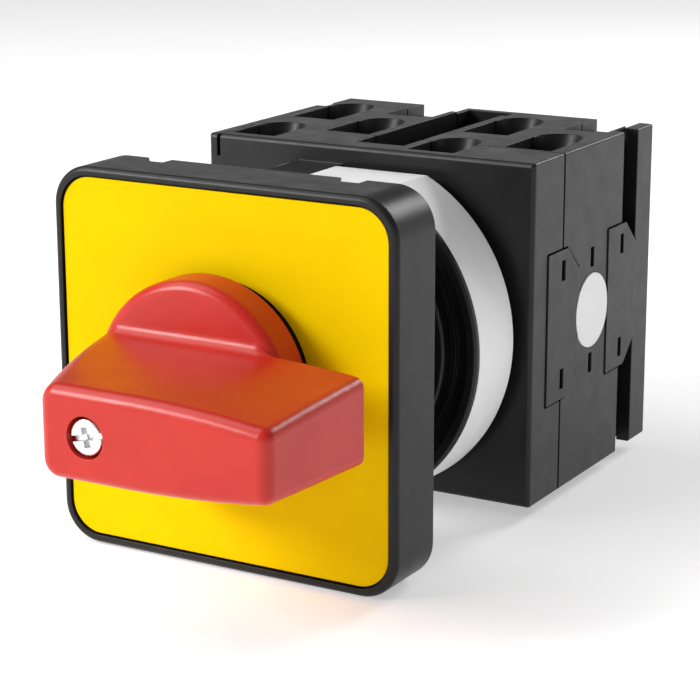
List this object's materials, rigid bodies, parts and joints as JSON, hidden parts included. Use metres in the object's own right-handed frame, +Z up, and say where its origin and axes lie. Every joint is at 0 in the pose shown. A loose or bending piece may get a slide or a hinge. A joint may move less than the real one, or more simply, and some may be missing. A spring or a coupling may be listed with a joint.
{
  "type": "rotary isolator switch",
  "caption": "Panel-mounted rotary isolator: red pointer handle on a yellow square plate, threaded neck, and a black contact block with screw terminals above and below.",
  "frame": {"origin": "on the shaft axis, in the plane of the front plate's rear face, which lies on the panel", "axes": "+X to the right seen from the front, +Y into the panel along the shaft, +Z up"},
  "size_m": [0.0488, 0.0995, 0.048],
  "materials": {
    "black_plastic": "moulded, finely grained",
    "bezel_plastic": "satin moulded",
    "yellow_plate": "satin printed plate",
    "red_plastic": "satin moulded",
    "white_plastic": "smooth moulded",
    "grey_plastic": "glass-filled moulded",
    "zinc_steel": "zinc plated",
    "spring_steel": "bright spring wire and strip",
    "brass": "bright",
    "copper": "bright strip with silvered tips",
    "rubber": "soft"
  },
  "bodies": {
    "housing": {"front_bezel": "bezel_plastic", "legend_plate": "yellow_plate", "knob_collar": "black_plastic", "base_plate": "black_plastic", "panel_seal": "rubber", "shaft_seal": "rubber", "ring_nut": "black_plastic", "latch_cover": "black_plastic", "spacer_ring": "white_plastic", "latch_housing": "black_plastic", "detent_spring_upper": "spring_steel", "detent_spring_lower": "spring_steel", "front_housing": "black_plastic", "contact_housing": "black_plastic", "divider_plate": "grey_plastic", "rear_cover": "black_plastic", "side_clips": "black_plastic", "side_disc": "white_plastic", "tie_screws": "zinc_steel", "terminal_clamps": "brass", "terminal_screws": "zinc_steel", "contact_spring_front_left": "spring_steel", "fixed_contacts_front_left": "copper", "contact_spring_front_right": "spring_steel", "fixed_contacts_front_right": "copper", "contact_spring_middle_left": "spring_steel", "fixed_contacts_middle_left": "copper", "contact_spring_middle_right": "spring_steel", "fixed_contacts_middle_right": "copper", "contact_spring_rear_left": "spring_steel", "fixed_contacts_rear_left": "copper", "contact_spring_rear_right": "spring_steel", "fixed_contacts_rear_right": "copper"},
    "rotor": {"handle": "red_plastic", "handle_screw": "zinc_steel", "shaft": "zinc_steel", "detent_wheel": "grey_plastic", "cam_front": "grey_plastic", "cam_middle": "grey_plastic", "cam_rear": "grey_plastic"},
    "contact_front_left": {"carrier_front_left": "grey_plastic", "bridge_front_left": "copper"},
    "contact_front_right": {"carrier_front_right": "grey_plastic", "bridge_front_right": "copper"},
    "contact_middle_left": {"carrier_middle_left": "grey_plastic", "bridge_middle_left": "copper"},
    "contact_middle_right": {"carrier_middle_right": "grey_plastic", "bridge_middle_right": "copper"},
    "contact_rear_left": {"carrier_rear_left": "grey_plastic", "bridge_rear_left": "copper"},
    "contact_rear_right": {"carrier_rear_right": "grey_plastic", "bridge_rear_right": "copper"}
  },
  "joints": [
    {"name": "handle_turn", "type": "hinge", "parent": "housing", "child": "rotor", "pos_m": [0, 0, 0], "axis": [0, -1, 0], "range_deg": [0, 90], "deforming": ["detent_spring_upper", "detent_spring_lower"]},
    {"name": "contact_front_left_slide", "type": "slide", "parent": "housing", "child": "contact_front_left", "axis": [1, 0, 0], "range_m": [0, 0.0018], "deforming": ["contact_spring_front_left"]},
    {"name": "contact_front_right_slide", "type": "slide", "parent": "housing", "child": "contact_front_right", "axis": [-1, 0, 0], "range_m": [0, 0.0018], "deforming": ["contact_spring_front_right"]},
    {"name": "contact_middle_left_slide", "type": "slide", "parent": "housing", "child": "contact_middle_left", "axis": [1, 0, 0], "range_m": [0, 0.0018], "deforming": ["contact_spring_middle_left"]},
    {"name": "contact_middle_right_slide", "type": "slide", "parent": "housing", "child": "contact_middle_right", "axis": [-1, 0, 0], "range_m": [0, 0.0018], "deforming": ["contact_spring_middle_right"]},
    {"name": "contact_rear_left_slide", "type": "slide", "parent": "housing", "child": "contact_rear_left", "axis": [1, 0, 0], "range_m": [0, 0.0018], "deforming": ["contact_spring_rear_left"]},
    {"name": "contact_rear_right_slide", "type": "slide", "parent": "housing", "child": "contact_rear_right", "axis": [-1, 0, 0], "range_m": [0, 0.0018], "deforming": ["contact_spring_rear_right"]}
  ],
  "couplings": [
    {"joint": "contact_front_left_slide", "follows": "handle_turn", "m_per_rad": 0.0011459},
    {"joint": "contact_front_right_slide", "follows": "handle_turn", "m_per_rad": 0.0011459},
    {"joint": "contact_middle_left_slide", "follows": "handle_turn", "m_per_rad": 0.0011459},
    {"joint": "contact_middle_right_slide", "follows": "handle_turn", "m_per_rad": 0.0011459},
    {"joint": "contact_rear_left_slide", "follows": "handle_turn", "m_per_rad": 0.0011459},
    {"joint": "contact_rear_right_slide", "follows": "handle_turn", "m_per_rad": 0.0011459}
  ]
}
